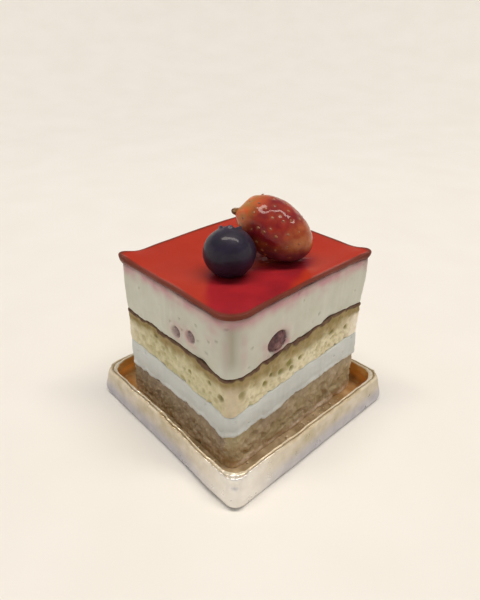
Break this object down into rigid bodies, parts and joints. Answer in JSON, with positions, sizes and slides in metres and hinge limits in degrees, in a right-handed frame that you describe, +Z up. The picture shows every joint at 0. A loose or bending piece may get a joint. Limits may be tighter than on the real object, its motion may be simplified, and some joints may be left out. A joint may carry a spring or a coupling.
{
  "type": "no-bake cheesecake",
  "caption": "Square-cut layered no-bake cheesecake with a red jelly top, blueberry and strawberry garnish, in a shallow gold foil tray.",
  "frame": {"origin": "middle of the tray's underside, on the surface it stands on", "axes": "+Z up through the cake; +X and -Y point at the two sides of the cake that the picture shows, X along the shorter side"},
  "size_m": [0.0737, 0.0743, 0.0748],
  "materials": {
    "gold_foil": "thin embossed foil card, satin with bright creases",
    "crumb_base": "moist brown crumb, matt",
    "cream": "smooth set cream cheese, soft sheen",
    "sponge": "open sponge crumb, matt, browned on top",
    "jelly": "clear red set jelly, glossy",
    "set_berry": "moist dark berry skin",
    "blueberry_skin": "dark berry skin under a thin glaze",
    "strawberry_flesh": "ripe strawberry under a clear glaze, glossy"
  },
  "bodies": {
    "root": {"foil_tray": "gold_foil", "base_layer": "crumb_base", "lower_cream": "cream", "sponge_layer": "sponge", "upper_cream": "cream", "jelly_glaze": "jelly", "side_berry": "set_berry", "face_berry_left": "set_berry", "face_berry_right": "set_berry", "blueberry": "blueberry_skin", "strawberry": "strawberry_flesh"}
  },
  "joints": []
}
